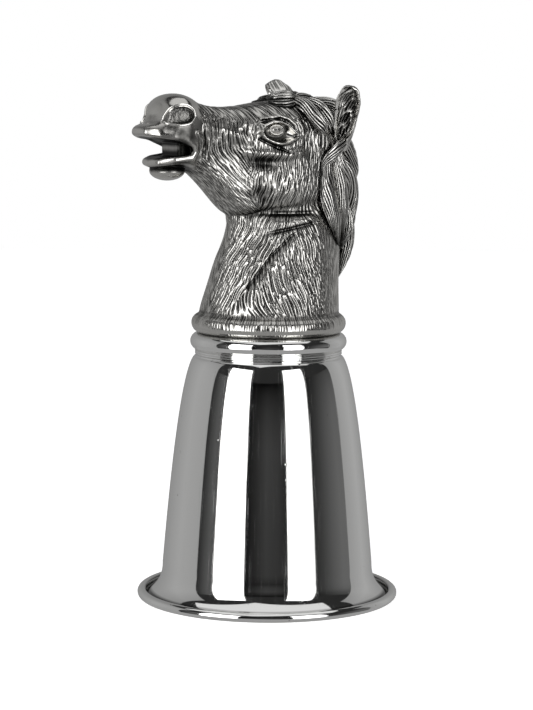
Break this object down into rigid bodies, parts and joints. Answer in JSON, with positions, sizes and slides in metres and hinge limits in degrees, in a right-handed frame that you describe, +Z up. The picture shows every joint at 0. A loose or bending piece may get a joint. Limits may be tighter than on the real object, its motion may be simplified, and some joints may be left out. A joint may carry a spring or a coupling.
{
  "type": "stirrup cup",
  "caption": "Stirrup cup: a polished spun metal beaker that stands on its rolled lip, with a turned collar and a hollow cast horse's head screwed to its crown.",
  "frame": {"origin": "on the bowl's axis, in the plane of the lip that the cup rests on", "axes": "+Z up the bowl's axis from the lip to the head, +X the way the horse faces, +Y the horse's left side"},
  "size_m": [0.0774, 0.073, 0.1446],
  "materials": {
    "bowl_metal": "polished",
    "collar_metal": "polished",
    "wire_metal": "satin",
    "plate_metal": "satin",
    "screw_metal": "satin",
    "washer_rubber": "matte",
    "head_metal": "satin",
    "hair_metal": "satin"
  },
  "bodies": {
    "root": {"cup_bowl": "bowl_metal", "rim_wire": "wire_metal", "collar_ring": "collar_metal", "neck_plate": "plate_metal", "fixing_screw": "screw_metal", "seal_washer": "washer_rubber", "head_left": "head_metal", "head_right": "head_metal", "ear_left": "head_metal", "ear_right": "head_metal", "mane": "hair_metal", "forelock": "hair_metal"}
  },
  "joints": []
}
